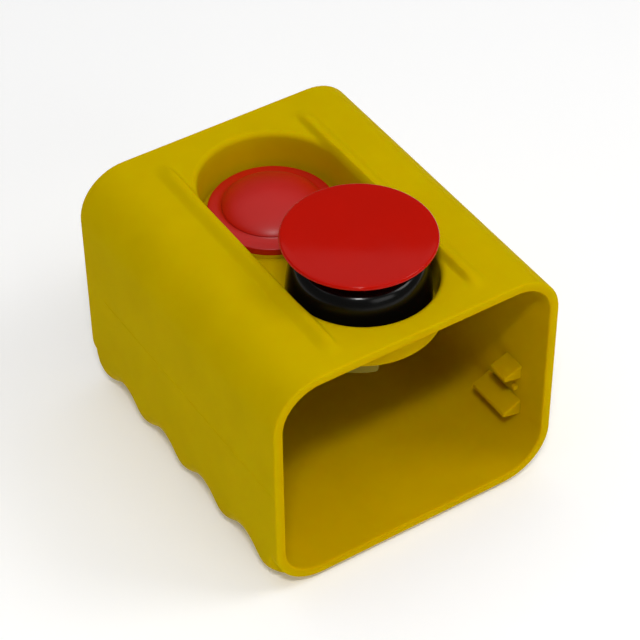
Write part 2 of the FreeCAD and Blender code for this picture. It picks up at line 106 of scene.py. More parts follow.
class StationHousingSettings(bpy.types.PropertyGroup):
    """Sizes of the moulded grip housing."""
    half_width: FloatProperty(
        name="Half width", description="From the middle to the outer side wall",
        default=44.75 * MM, unit="LENGTH")
    top: FloatProperty(
        name="Top", description="Height of the flat top", default=75.9 * MM, unit="LENGTH")
    shell_bottom: FloatProperty(
        name="Shell bottom", description="Height of the plain shell's underside",
        default=2.4 * MM, unit="LENGTH")
    wall: FloatProperty(
        name="Wall", description="Wall thickness", default=2.8 * MM, unit="LENGTH")
    corner_radius: FloatProperty(
        name="Corner radius", description="Outer radius of the shell's long corners",
        default=14.5 * MM, unit="LENGTH")
    ridge_corner_radius: FloatProperty(
        name="Ridge corner radius", description="Outer radius where a finger ridge turns the corner",
        default=10.1 * MM, unit="LENGTH")
    ridge_pitch: FloatProperty(
        name="Ridge pitch", description="From one finger ridge to the next",
        default=21.9 * MM, unit="LENGTH")
    ridge_centre: FloatProperty(
        name="Middle ridge", description="Place of the middle finger ridge along the grip",
        default=1.6 * MM, unit="LENGTH")
    groove_depth: FloatProperty(
        name="Groove depth", description="Depth of a finger groove below its ridges",
        default=2.0 * MM, unit="LENGTH")
    groove_radius: FloatProperty(
        name="Groove radius", description="Radius of a finger groove's scoop",
        default=23.3 * MM, unit="LENGTH")
    edge: FloatProperty(
        name="Edge rounding", description="Rounding of the rim edges",
        default=0.45 * MM, unit="LENGTH")
    lip_height: FloatProperty(
        name="Lip height", description="Rise of the beads beside the pocket",
        default=1.6 * MM, unit="LENGTH")
    rim_rounding: FloatProperty(
        name="Rim rounding", description="Rounding where the pocket wall meets the top",
        default=1.6 * MM, unit="LENGTH")
    colour: FloatVectorProperty(
        name="Colour", description="Moulded yellow of the housing", subtype="COLOR",
        size=3, min=0, max=1, default=(0.53, 0.372, 0.0))


class StationButtonSettings(bpy.types.PropertyGroup):
    """Sizes and colours of the two operators."""
    cap_edge: FloatProperty(
        name="Cap edge", description="Thickness of the wide head at its edge",
        default=1.2 * MM, unit="LENGTH")
    cap_drop: FloatProperty(
        name="Cap drop", description="How far the wide head's edge lies below its crown",
        default=0.25 * MM, unit="LENGTH")
    button_gap: FloatProperty(
        name="Button gap", description="Running gap between the domed button and its bezel",
        default=0.07 * MM, unit="LENGTH")
    thread_pitch: FloatProperty(
        name="Thread pitch", description="Pitch of the thread on the operator barrels",
        default=1.5 * MM, unit="LENGTH")
    lugs: IntProperty(
        name="Nut lugs", description="Lugs on each ring nut", default=4, min=2, max=12)
    head_colour: FloatVectorProperty(
        name="Head colour", description="Gloss red of the wide head", subtype="COLOR",
        size=3, min=0, max=1, default=(0.45, 0.004, 0.0))
    button_colour: FloatVectorProperty(
        name="Button colour", description="Satin red of the domed button", subtype="COLOR",
        size=3, min=0, max=1, default=(0.47, 0.004, 0.001))
    nut_colour: FloatVectorProperty(
        name="Nut colour", description="Olive plastic of the ring nuts", subtype="COLOR",
        size=3, min=0, max=1, default=(0.21, 0.16, 0.010))


class StationStudioSettings(bpy.types.PropertyGroup):
    """Camera and lights."""
    azimuth: FloatProperty(
        name="Azimuth", description="Camera's turn round the object",
        default=math.radians(-32.29), unit="ROTATION")
    elevation: FloatProperty(
        name="Elevation", description="Camera's height above the horizon",
        default=math.radians(42.83), unit="ROTATION")
    roll: FloatProperty(
        name="Roll", description="Camera's turn about its own axis",
        default=math.radians(-0.61), unit="ROTATION")
    distance: FloatProperty(
        name="Distance", description="From the camera to the aim point",
        default=640 * MM, unit="LENGTH")
    lens: FloatProperty(name="Lens", description="Focal length in millimetres", default=131.3)
    backdrop: FloatVectorProperty(
        name="Backdrop", description="Pale floor", subtype="COLOR",
        size=3, min=0, max=1, default=(0.95, 0.95, 0.95))


# ---------------------------------------------------------------- surfaces

def grid(points, around=False, across=False):
    """Points and quads of one grid of points; either direction can close on itself."""
    rows, columns = points.shape[:2]
    index = np.arange(rows * columns).reshape(rows, columns)
    if around:
        index = np.concatenate([index, index[:1]], axis=0)
    if across:
        index = np.concatenate([index, index[:, :1]], axis=1)
    corners = [index[:-1, :-1], index[1:, :-1], index[1:, 1:], index[:-1, 1:]]
    return points.reshape(-1, 3), np.stack(corners, axis=-1).reshape(-1, 4)


def gather(sheets):
    """Several grids as one list of points and quads."""
    counts = np.cumsum([0] + [len(points) for points, _ in sheets])
    points = np.concatenate([points for points, _ in sheets])
    quads = np.concatenate([quads + start for (_, quads), start in zip(sheets, counts)])
    return points, quads


def make_piece(name, sheets, smooth_angle=34.0, merge=1e-6):
    """Mesh object from grids: coinciding points are shared and faces turned outwards.

    A quad that has two equal corners becomes a triangle, and one with less is left out.
    """
    points, quads = gather(sheets)
    keys = np.round(points / merge + 0.1234567).astype(np.int64)
    _, first, place = np.unique(keys, axis=0, return_index=True, return_inverse=True)
    points = points[first]
    quads = place.reshape(-1)[quads]
    kept = quads != np.roll(quads, -1, axis=1)
    whole = (kept.sum(axis=1) >= 3) & (quads[:, 0] != quads[:, 2]) & (quads[:, 1] != quads[:, 3])
    quads, kept = quads[whole], kept[whole]
    corners = quads[kept]
    starts = np.concatenate([[0], np.cumsum(kept.sum(axis=1))[:-1]])

    mesh = bpy.data.meshes.new(name)
    mesh.vertices.add(len(points))
    mesh.vertices.foreach_set("co", points.astype(np.float32).ravel())
    mesh.loops.add(len(corners))
    mesh.loops.foreach_set("vertex_index", corners.astype(np.int32))
    mesh.polygons.add(len(starts))
    mesh.polygons.foreach_set("loop_start", starts.astype(np.int32))
    mesh.update(calc_edges=True)
    mesh.validate()
    turned = bmesh.new()
    turned.from_mesh(mesh)
    bmesh.ops.recalc_face_normals(turned, faces=turned.faces[:])
    turned.to_mesh(mesh)
    turned.free()
    mesh.shade_smooth()
    mesh.set_sharp_from_angle(angle=math.radians(smooth_angle))

    piece = bpy.data.objects.new(name, mesh)
    bpy.context.scene.collection.objects.link(piece)
    return piece


def rounded(corners, radii, steps=5, closed=True):
    """Polyline in a plane with round corners.

    Each corner is replaced by the arc of its radius that touches both of its sides: the
    arc starts radius * tan(turn / 2) before the corner and its centre lies on the bisector.
    """
    corners = np.asarray(corners, float)
    radii = np.broadcast_to(np.asarray(radii, float), len(corners))
    outline = []
    for index, (corner, radius) in enumerate(zip(corners, radii)):
        inner = closed or 0 < index < len(corners) - 1
        if not inner or radius <= 0:
            outline.append(corner[None])
            continue
        back = corners[index - 1] - corner
        ahead = corners[(index + 1) % len(corners)] - corner
        back, ahead = back / np.linalg.norm(back), ahead / np.linalg.norm(ahead)
        half = math.acos(np.clip(back @ ahead, -1, 1)) / 2
        centre = corner + (back + ahead) / np.linalg.norm(back + ahead) * radius / math.sin(half)
        start = corner + back * radius / math.tan(half) - centre
        end = corner + ahead * radius / math.tan(half) - centre
        turn = math.pi - 2 * half
        share = np.linspace(0, 1, steps + 1)[:, None]
        arc = (start * np.sin((1 - share) * turn) + end * np.sin(share * turn)) / math.sin(turn)
        outline.append(centre + arc)
    return np.concatenate(outline)


def lathe(profile, centre=(0, 0), closed=False, segments=SWEEP):
    """Profile of (radius, height) points turned round the vertical axis through centre."""
    profile = np.asarray(profile, float)
    angle = np.linspace(0, 2 * math.pi, segments, endpoint=False)[None]
    x = centre[0] + profile[:, :1] * np.cos(angle)
    y = centre[1] + profile[:, :1] * np.sin(angle)
    z = np.broadcast_to(profile[:, 1:], x.shape)
    return grid(np.stack([x, y, z], axis=-1), around=closed, across=True)


def lathe_along_y(profile, centre, closed=False, segments=SWEEP):
    """Profile of (radius, y) points turned round the axis along Y through centre (x, z)."""
    profile = np.asarray(profile, float)
    angle = np.linspace(0, 2 * math.pi, segments, endpoint=False)[None]
    x = centre[0] + profile[:, :1] * np.cos(angle)
    z = centre[1] + profile[:, :1] * np.sin(angle)
    y = np.broadcast_to(profile[:, 1:], x.shape)
    return grid(np.stack([x, y, z], axis=-1), around=closed, across=True)


def outline_normals(outline):
    """Unit normals of a closed plane outline that runs anticlockwise, outwards."""
    along = np.roll(outline, -1, axis=0) - np.roll(outline, 1, axis=0)
    normals = np.stack([along[:, 1], -along[:, 0]], axis=-1)
    return normals / np.linalg.norm(normals, axis=1, keepdims=True)


def capped_bar(outline, low, high, bevel, plane="xz", steps=3):
    """Convex outline carried from low to high, with rounded end edges and flat ends.

    Each end runs in from the outline by bevel * (1 - cos a) while it moves out by
    bevel * sin a, and then closes on the outline's middle.
    """
    outline = np.asarray(outline, float)
    normals = outline_normals(outline)
    turn = np.linspace(0, math.pi / 2, steps + 1)
    inset = bevel * (1 - np.cos(turn))
    rise = bevel * np.sin(turn)
    inset = np.concatenate([inset[::-1], inset])
    place = np.concatenate([low + bevel - rise[::-1], high - bevel + rise])
    rings = outline[None] - normals[None] * inset[:, None, None]
    middle = np.broadcast_to(outline.mean(axis=0), (1,) + outline.shape)
    rings = np.concatenate([middle, rings, middle])
    place = np.concatenate([place[:1], place, place[-1:]])
    place = np.broadcast_to(place[:, None], rings.shape[:2])
    if plane == "xz":
        points = np.stack([rings[..., 0], place, rings[..., 1]], axis=-1)
    else:
        points = np.stack([rings[..., 0], rings[..., 1], place], axis=-1)
    return grid(points, across=True)


def smoothstep(value, low, high):
    """0 below low, 1 above high, and an S curve between."""
    share = np.clip((value - low) / (high - low), 0, 1)
    return share * share * (3 - 2 * share)


# ---------------------------------------------------------------- housing

def ridge_share(y, sizes):
    """How far the section swells from the plain shell (0) to a full ridge (1) at depth y.

    A groove is a circular scoop: depth - (R - sqrt(R^2 - t^2)) at t from its middle.  Scoops
    and ridge tops meet through a smooth maximum, and the swelling stops near both ends.
    """
    swell = sizes.shell_bottom
    from_ridge = np.abs((y - sizes.ridge_centre + sizes.ridge_pitch / 2) % sizes.ridge_pitch
                        - sizes.ridge_pitch / 2)
    across = sizes.ridge_pitch / 2 - from_ridge
    radius = sizes.groove_radius
    scoop = sizes.groove_depth - (radius - np.sqrt(radius ** 2 - across ** 2))
    soft = 0.55 * MM
    floor = (scoop + np.sqrt(scoop ** 2 + soft ** 2)) / 2
    top_of_ridge = sizes.groove_depth - (radius - math.sqrt(radius ** 2 - (sizes.ridge_pitch / 2) ** 2))
    floor = floor - (top_of_ridge + math.hypot(top_of_ridge, soft)) / 2
    front, back = -46.8 * MM, 48.6 * MM
    ends = smoothstep(y, front - 0.5 * MM, front + 0.5 * MM)
    ends = ends * (1 - smoothstep(y, back - 0.5 * MM, back + 0.5 * MM))
    return (1 - floor / swell) * ends


def section(half_width, low, high, low_radius, high_radius, wall_heights, turns, floor_count):
    """Rounded section from the flat top's right end, clockwise to its left end.

    Low and low_radius are arrays over depth, and the result is (section, depth, x and z).
    """
    turn = np.linspace(0, math.pi / 2, turns)[:, None]
    ones = np.ones_like(low)[None]
    top_x = half_width - high_radius + high_radius * np.sin(turn) * ones
    top_z = high - high_radius + high_radius * np.cos(turn) * ones
    wall_x = half_width * np.ones((len(wall_heights), 1)) * ones
    wall_z = np.asarray(wall_heights)[:, None] * ones
    low_x = half_width - low_radius[None] * (1 - np.cos(turn))
    low_z = low[None] + low_radius[None] * (1 - np.sin(turn))
    share = np.linspace(0, 1, floor_count)[1:-1, None]
    floor_x = (half_width - low_radius)[None] * (1 - 2 * share)
    floor_z = low[None] * np.ones_like(share)
    right = np.stack([np.concatenate([top_x, wall_x, low_x]),
                      np.concatenate([top_z, wall_z, low_z])], axis=-1)
    floor = np.stack([floor_x, floor_z], axis=-1)
    left = right[::-1] * np.array([-1.0, 1.0])
    return np.concatenate([right, floor, left])


class Pocket:
    """The racetrack pocket and the lines that run out from it to the flat top's edges."""

    front_centre = -23.6 * MM
    rear_centre = 21.5 * MM
    rim_radius = 20.5 * MM
    floor_radius = 20.2 * MM
    floor = 62.8 * MM
    tub_bottom = 60.9 * MM
    tub_radius = 22.1 * MM
    tub_rounding = 3.2 * MM
    hole_radius = 15.1 * MM
    seat_radius = 18.2 * MM
    seat_top = BEZEL_LOW.z
    lip_foot = 19.8 * MM
    lip_inner = 21.8 * MM
    lip_outer = 22.4 * MM
    lip_end = 26.2 * MM

    def __init__(self, sizes, depths, columns):
        """Lines start at the frame: up the right side, back, down the left side, front."""
        self.sizes = sizes
        edge_x = sizes.half_width - sizes.corner_radius
        across = np.linspace(edge_x, -edge_x, columns)
        right = np.stack([np.full(len(depths), edge_x), depths], axis=-1)
        back = np.stack([across[1:-1], np.full(columns - 2, depths[-1])], axis=-1)
        self.frame = np.concatenate([right, back, -right, -back])
        self.depths = depths
        self.across = across
        centre_y = np.clip(self.frame[:, 1], self.front_centre, self.rear_centre)
        self.centre = np.stack([np.zeros_like(centre_y), centre_y], axis=-1)
        out = self.frame - self.centre
        self.out = out / np.linalg.norm(out, axis=1, keepdims=True)

    def lip(self, x, y):
        """Rise of the straight beads: steep on the pocket's side, slow on the outer side.

        Both flanks are smooth steps, level between them, and the bead fades at both ends.
        """
        across = np.abs(x)
        hump = smoothstep(across, self.lip_foot, self.lip_inner)
        hump *= smoothstep(across, self.lip_end, self.lip_outer)
        fade = smoothstep(y, -47.0 * MM, -39.5 * MM) * (1 - smoothstep(y, 37.0 * MM, 44.5 * MM))
        return self.sizes.lip_height * hump * fade

    def ring(self, radius, height):
        """One closed line round the pocket."""
        flat = self.centre + self.out * radius
        return np.concatenate([flat, np.full((len(flat), 1), height)], axis=-1)

    def upper(self):
        """Flat top, lips, rounded rim and drafted wall, down to the edge of the floor."""
        top, round_rim, round_foot = self.sizes.top, self.sizes.rim_rounding, 0.8 * MM
        start = self.ring(self.rim_radius + round_rim, top)
        end = np.concatenate([self.frame, np.full((len(self.frame), 1), top)], axis=-1)
        share = np.linspace(1, 0, 60)[:, None, None]
        flat = start[None] * (1 - share) + end[None] * share
        turn = np.linspace(0, math.pi / 2, 7)[1:]
        rim = [self.ring(self.rim_radius + round_rim * (1 - math.sin(t)),
                         top - round_rim * (1 - math.cos(t))) for t in turn]
        wall_top = top - round_rim
        wall_foot = self.floor + round_foot
        steps = np.linspace(0, 1, 7)[1:]
        wall = [self.ring(self.rim_radius + (self.floor_radius - self.rim_radius) * s,
                          wall_top + (wall_foot - wall_top) * s) for s in steps]
        foot = [self.ring(self.floor_radius - round_foot * (1 - math.cos(t)),
                          wall_foot - round_foot * math.sin(t)) for t in turn]
        points = np.concatenate([flat, np.array(rim), np.array(wall), np.array(foot)])
        weight = np.clip((points[..., 2] - wall_foot) / (wall_top - wall_foot), 0, 1)
        points[..., 2] += weight * self.lip(points[..., 0], points[..., 1])
        return points

    def lower(self):
        """Underside edge of the tub, its outer wall, and the ceiling out to the shell."""
        ceiling, bend, foot_bend = self.sizes.top - self.sizes.wall, 0.8 * MM, self.tub_rounding
        turn = np.linspace(0, math.pi / 2, 9)
        foot = [self.ring(self.tub_radius - foot_bend * (1 - math.sin(t)),
                          self.tub_bottom + foot_bend * (1 - math.cos(t))) for t in turn]
        crook = [self.ring(self.tub_radius + bend * (1 - math.cos(t)),
                           ceiling - bend * (1 - math.sin(t))) for t in turn]
        start = crook[-1]
        end = np.concatenate([self.frame, np.full((len(self.frame), 1), ceiling)], axis=-1)
        share = np.linspace(0, 1, 9)[1:, None, None]
        flat = start[None] * (1 - share) + end[None] * share
        return np.concatenate([np.array(foot), np.array(crook), flat])

    def closed_run(self, edge, rear):
        """Front or rear half of a line round the pocket, closed by a straight cut."""
        middle = int(np.argmin(np.abs(self.depths)))
        opposite = 2 * len(self.depths) + len(self.across) - 3 - middle
        if rear:
            run = edge[middle:opposite + 1]
        else:
            run = np.concatenate([edge[opposite:], edge[:middle + 1]])
        share = np.linspace(0, 1, 26)[1:-1, None]
        return np.concatenate([run, run[-1] * (1 - share) + run[0] * share])

    def half_floor(self, edge, rear, steps):
        """One operator's half of a floor: lines from its outer edge in to a round hole.

        Edge is a closed line round the pocket, and steps are (radius, height) of the rings
        from the outside in.  The cut between both halves lies at the middle depth.
        """
        axis = np.array([0.0, REAR_Y if rear else FRONT_Y])
        loop = self.closed_run(edge, rear)
        out = self.closed_run(self.ring(self.floor_radius, 0.0), rear)[:, :2] - axis
        out = out / np.linalg.norm(out, axis=1, keepdims=True)
        first = axis + out * steps[0][0]
        rows = []
        for share in (0.0, 0.35, 0.7):
            flat = loop[:, :2] * (1 - share) + first * share
            rows.append(np.concatenate([flat, loop[:, 2:]], axis=-1))
        for radius, height in steps:
            flat = axis + out * radius
            rows.append(np.concatenate([flat, np.full((len(flat), 1), height)], axis=-1))
        return grid(np.array(rows), across=True)


def guide_block(side, y_low, y_high, top, tip_top, sizes):
    """Sloped guide block on a side wall, with rounded edges."""
    root = sizes.half_width - sizes.wall + 0.6 * MM
    tip = sizes.half_width - sizes.wall - GUIDE_REACH
    corners = np.array([(tip, tip_top - 1.6 * MM), (root, tip_top - 3.0 * MM),
                        (root, top), (tip, tip_top)])
    outline = rounded(corners, 0.45 * MM, steps=3)
    points, quads = capped_bar(outline, y_low, y_high, 0.4 * MM)
    return points * np.array([side, 1, 1]), quads


def screw_bosses():
    """Four round bosses in the cavity's corners, each with its blind screw hole."""
    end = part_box("end_cap_gasket")[0].y
    start, hole_end = end - BOSS_LENGTH, end - SCREW_HOLE_DEPTH
    profile = rounded([(0, start), (BOSS_RADIUS, start), (BOSS_RADIUS, end),
                       (SCREW_HOLE_RADIUS, end), (SCREW_HOLE_RADIUS, hole_end), (0, hole_end)],
                      [0, 0.5 * MM, 0.3 * MM, 0.2 * MM, 0.2 * MM, 0], closed=False, steps=3)
    return [lathe_along_y(profile, place, segments=40) for place in screw_places()]


def screw_places():
    """(x, z) of the end cap screws, from the box round all four of them."""
    inset = SCREW_HEAD_RADIUS
    xs = (SCREWS_LOW.x + inset, SCREWS_HIGH.x - inset)
    zs = (SCREWS_LOW.z + inset, SCREWS_HIGH.z - inset)
    return [(x, z) for x in xs for z in zs]


def housing_sheets(sizes):
    """All grids of the housing; neighbours share the points of their common edges."""
    edge, wall = sizes.edge, sizes.wall
    depths = np.linspace(-(HALF_LENGTH - edge), HALF_LENGTH - edge, 145)
    turn = np.linspace(0, math.pi / 2, 5)
    rim_y = np.concatenate([HALF_LENGTH - edge * (1 - np.sin(turn[1:])),
                            HALF_LENGTH - edge * (1 - np.cos(turn))])
    rim_share = np.concatenate([edge * (1 - np.cos(turn[1:])) / wall,
                                1 - edge * (1 - np.sin(turn)) / wall])
    loop_y = np.concatenate([depths, rim_y, depths[::-1][1:], -rim_y[::-1][1:]])
    loop_share = np.concatenate([np.zeros(len(depths)), rim_share,
                                 np.ones(len(depths) - 1), rim_share[::-1][1:]])

    share = ridge_share(loop_y, sizes) * (loop_share == 0)
    parting_z = HOUSING_LOW.z + PARTING_HEIGHT
    walls = np.array([56, 50, 44, 39.4]) * MM
    bead = parting_z + np.array([0.30, 0.13, -0.13, -0.30]) * MM
    walls = np.concatenate([walls, bead, np.array([37.4, 32, 26, 21, 18]) * MM])
    low = sizes.shell_bottom * (1 - share)
    radius = sizes.corner_radius + (sizes.ridge_corner_radius - sizes.corner_radius) * share
    outer = section(sizes.half_width, low, sizes.top, radius, sizes.corner_radius, walls, 15, 10)
    flat_low = np.full_like(low, sizes.shell_bottom + wall)
    inner_radius = sizes.corner_radius - wall
    inner = section(sizes.half_width - wall, flat_low, sizes.top - wall,
                    np.full_like(low, inner_radius), inner_radius, walls, 15, 10)
    raised = (np.abs(outer[..., 1] - parting_z) < 0.2 * MM) * (loop_share == 0)[None]
    raised = raised * smoothstep(loop_y, -50.0 * MM, -49.4 * MM)[None]
    raised = raised * (1 - smoothstep(loop_y, 40.4 * MM, 41.0 * MM))[None]
    outer[..., 0] += np.sign(outer[..., 0]) * raised * PARTING_RISE
    blend = loop_share[None, :, None]
    around = outer * (1 - blend) + inner * blend
    depth = np.broadcast_to(loop_y[None], around.shape[:2])
    tube = grid(np.stack([around[..., 0], depth, around[..., 1]], axis=-1), across=True)

    pocket = Pocket(sizes, depths, 49)
    upper, lower = pocket.upper(), pocket.lower()
    sheets = [tube, grid(upper, across=True), grid(lower, across=True)]

    rims = np.stack([np.broadcast_to(pocket.across[:, None], (49, len(rim_y) + 1)),
                     np.broadcast_to(np.append(depths[-1], rim_y), (49, len(rim_y) + 1)),
                     np.broadcast_to(sizes.top - wall * np.append(0, rim_share),
                                     (49, len(rim_y) + 1))], axis=-1)
    sheets += [grid(rims), grid(rims * np.array([1, -1, 1]))]

    floor, seat, hole = pocket.floor, pocket.seat_top, pocket.hole_radius
    corner = 0.15 * MM
    mouth = [(hole + corner, 0.0), (hole, -corner)]
    front_steps = [(r, floor + z) for r, z in mouth]
    foot = pocket.seat_radius
    rear_steps = [(foot + 0.5 * MM, floor), (foot + 0.1 * MM, floor + 0.06 * MM),
                  (foot, floor + 0.2 * MM), (foot, seat - 0.2 * MM),
                  (foot - 0.06 * MM, seat - 0.06 * MM), (foot - 0.2 * MM, seat)]
    rear_steps += [(r, seat + z) for r, z in mouth]
    bottom = [(hole, pocket.tub_bottom)]
    sheets.append(pocket.half_floor(upper[-1], False, front_steps + bottom))
    sheets.append(pocket.half_floor(upper[-1], True, rear_steps + bottom))
    sheets.append(pocket.half_floor(lower[0], False, bottom))
    sheets.append(pocket.half_floor(lower[0], True, bottom))

    for side in (-1, 1):
        sheets += [guide_block(side, *guide, sizes) for guide in GUIDE_BLOCKS]
        x = side * (sizes.half_width - wall - 0.4 * MM)
        nub = rounded([(x - 0.9 * MM, 23.0 * MM), (x + 0.9 * MM, 23.0 * MM),
                       (x + 0.9 * MM, 24.6 * MM), (x - 0.9 * MM, 24.6 * MM)], 0.3 * MM, steps=3)
        sheets.append(capped_bar(nub, -39.4 * MM, -38.0 * MM, 0.25 * MM))
    return sheets + screw_bosses()


# ---------------------------------------------------------------- operator pieces

def mushroom_cap_sheet(sizes):
    """Nearly flat head: its top drops with the radius to the power 2.2, to a thin round edge."""
    radius, crown = CAP_HIGH.x, CAP_HIGH.z
    edge_top, start = crown - sizes.cap_drop, radius - 1.4 * MM
    across = np.linspace(0, start, 24)
    top = np.stack([across, crown - sizes.cap_drop * (across / start) ** 2.2], axis=-1)
    under, hub = edge_top - sizes.cap_edge, 8.8 * MM
    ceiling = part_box("front_stem")[1].z + 0.1 * MM
    rest = rounded([(start, edge_top), (radius, edge_top - 0.12 * MM), (radius, under),
                    (hub, under), (hub, CAP_LOW.z), (4.45 * MM, CAP_LOW.z),
                    (4.45 * MM, ceiling), (0, ceiling)],
                   np.array([0, 0.8, 0.25, 0.8, 0.3, 0.2, 0.2, 0]) * MM, closed=False, steps=8)
    return lathe(np.concatenate([top, rest[1:]]), (0, FRONT_Y), segments=192)


def collar_sheet():
    """Glossy bulged skirt with a rounded shoulder and a flat rim round its opening."""
    foot, top = COLLAR_LOW.z, COLLAR_HIGH.z
    radius = COLLAR_HIGH.x
    height = top - foot
    bulge = np.linspace(0, 1, 26)[:, None]
    controls = np.array([[radius, foot], [radius + 0.05 * MM, foot + 0.42 * height],
                         [radius - 0.9 * MM, foot + 0.80 * height],
                         [radius - 1.9 * MM, foot + 0.985 * height], [radius - 4.6 * MM, top]])
    outside = bezier(controls, bulge)
    inside = rounded([(10.0 * MM, top), (10.0 * MM, top - 1.8 * MM),
                      (15.4 * MM, top - 1.8 * MM), (17.9 * MM, foot)],
                     [0.5 * MM, 0.3 * MM, 1.6 * MM, 0], closed=False, steps=5)
    inside = np.concatenate([rounded([tuple(outside[-1]), (10.0 * MM, top), (10.0 * MM, top - 1.8 * MM)],
                                     [0, 0.5 * MM, 0], closed=False)[1:], inside[2:]])
    return lathe(np.concatenate([outside, inside]), (0, FRONT_Y), closed=True, segments=192)


def bezier(controls, share):
    """Bezier curve: the control points weighted by Bernstein polynomials of the share."""
    order = len(controls) - 1
    weights = [math.comb(order, k) * share ** k * (1 - share) ** (order - k)
               for k in range(order + 1)]
    return sum(weight * control for weight, control in zip(weights, controls))


def threaded_profile(radius, low, high, pitch):
    """Wall of a thread seen in section: rounded crests every pitch, 0.5 mm deep."""
    height = np.linspace(low, high, max(12, int((high - low) / pitch * 8)))
    depth = 0.25 * MM * (1 - np.cos((height - low) / pitch * 2 * math.pi))
    return np.stack([radius - depth, height], axis=-1)


def front_body_sheet(sizes):
    """Front operator body: threaded barrel, flange and guide neck."""
    low, high = FRONT_BODY_LOW.z, FRONT_BODY_HIGH.z
    flange_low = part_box("front_gasket")[1].z
    thread = threaded_profile(14.9 * MM, low + 0.2 * MM, flange_low - 0.4 * MM, sizes.thread_pitch)
    flange = FRONT_BODY_HIGH.x
    rest = rounded([(14.9 * MM, flange_low), (flange, flange_low), (flange, flange_low + 2 * MM),
                    (11 * MM, flange_low + 2 * MM), (11 * MM, high), (9.2 * MM, high),
                    (9.2 * MM, 70.1 * MM), (6.05 * MM, 70.1 * MM), (6.05 * MM, 68.1 * MM),
                    (8.15 * MM, 68.1 * MM), (8.15 * MM, 65.9 * MM), (6.05 * MM, 65.9 * MM),
                    (6.05 * MM, 62 * MM), (9.5 * MM, 62 * MM), (9.5 * MM, low)],
                   [0.1 * MM, 0.3 * MM, 0.3 * MM, 0.4 * MM, 0.3 * MM, 0.3 * MM, 0.3 * MM, 0.1 * MM,
                    0, 0, 0, 0, 0.1 * MM, 0.2 * MM, 0.3 * MM], steps=3)
    return lathe(np.concatenate([thread, rest]), (0, FRONT_Y), closed=True, segments=96)


def rear_body_sheet(sizes):
    """Rear operator body: threaded barrel, thin flange, spring well and guide bore."""
    low = REAR_BODY_LOW.z
    thread = threaded_profile(14.9 * MM, low + 0.2 * MM, 64.3 * MM, sizes.thread_pitch)
    rest = rounded([(14.9 * MM, 64.7 * MM), (17.6 * MM, 64.7 * MM), (17.6 * MM, 65.4 * MM),
                    (14.3 * MM, 65.4 * MM), (14.3 * MM, 64.2 * MM), (12.2 * MM, 64.2 * MM),
                    (12.2 * MM, 60.6 * MM), (9.6 * MM, 60.6 * MM), (9.6 * MM, 64.2 * MM),
                    (6.05 * MM, 64.2 * MM), (6.05 * MM, 63.6 * MM), (8.15 * MM, 63.6 * MM),
                    (8.15 * MM, 61.4 * MM), (6.05 * MM, 61.4 * MM), (6.05 * MM, 59.6 * MM),
                    (9.5 * MM, 59.6 * MM), (9.5 * MM, low)],
                   0.1 * MM, steps=2)
    return lathe(np.concatenate([thread, rest]), (0, REAR_Y), closed=True, segments=96)


def bezel_sheet(sizes):
    """Flanged red ring: round brim, concave sweep up to the button, recess underneath."""
    low, top = BEZEL_LOW.z, BEZEL_HIGH.z
    radius, bore = BEZEL_HIGH.x, 14.0 * MM + sizes.button_gap
    brim = low + 2.15 * MM
    edge = rounded([(17.7 * MM, low), (radius, low), (radius, brim), (16.2 * MM, brim + 0.12 * MM)],
                   np.array([0, 0.12, 0.45, 0]) * MM, closed=False, steps=6)
    sweep = bezier(np.array([[16.2 * MM, brim + 0.12 * MM], [15.2 * MM, brim + 0.18 * MM],
                             [14.7 * MM, brim + 0.30 * MM], [bore, top - 0.1 * MM]]),
                   np.linspace(0, 1, 10)[1:, None])
    recess = np.array([(bore, low + 1.3 * MM), (17.7 * MM, low + 1.3 * MM)])
    return lathe(np.concatenate([edge, sweep, recess]), (0, REAR_Y), closed=True, segments=192)


def domed_button_sheet():
    """Convex button: a spherical crown that rolls over into a short straight skirt."""
    foot, crown = BUTTON_LOW.z, BUTTON_HIGH.z
    radius = 14.0 * MM
    shoulder = foot + 0.55 * MM
    rise = crown - shoulder
    share = np.linspace(0, 1, 34)[:, None]
    dome = bezier(np.array([[0, crown], [5.6 * MM, crown], [10.6 * MM, crown - 0.42 * rise],
                            [12.9 * MM, shoulder + 0.30 * rise], [radius, shoulder]]), share)
    socket = rounded([(radius, shoulder), (radius, foot), (4.45 * MM, foot),
                      (4.45 * MM, foot + 2.7 * MM), (0, foot + 2.7 * MM)],
                     [0, 0.12 * MM, 0.1 * MM, 0.1 * MM, 0], closed=False, steps=3)
    return lathe(np.concatenate([dome, socket[1:]]), (0, REAR_Y), segments=192)


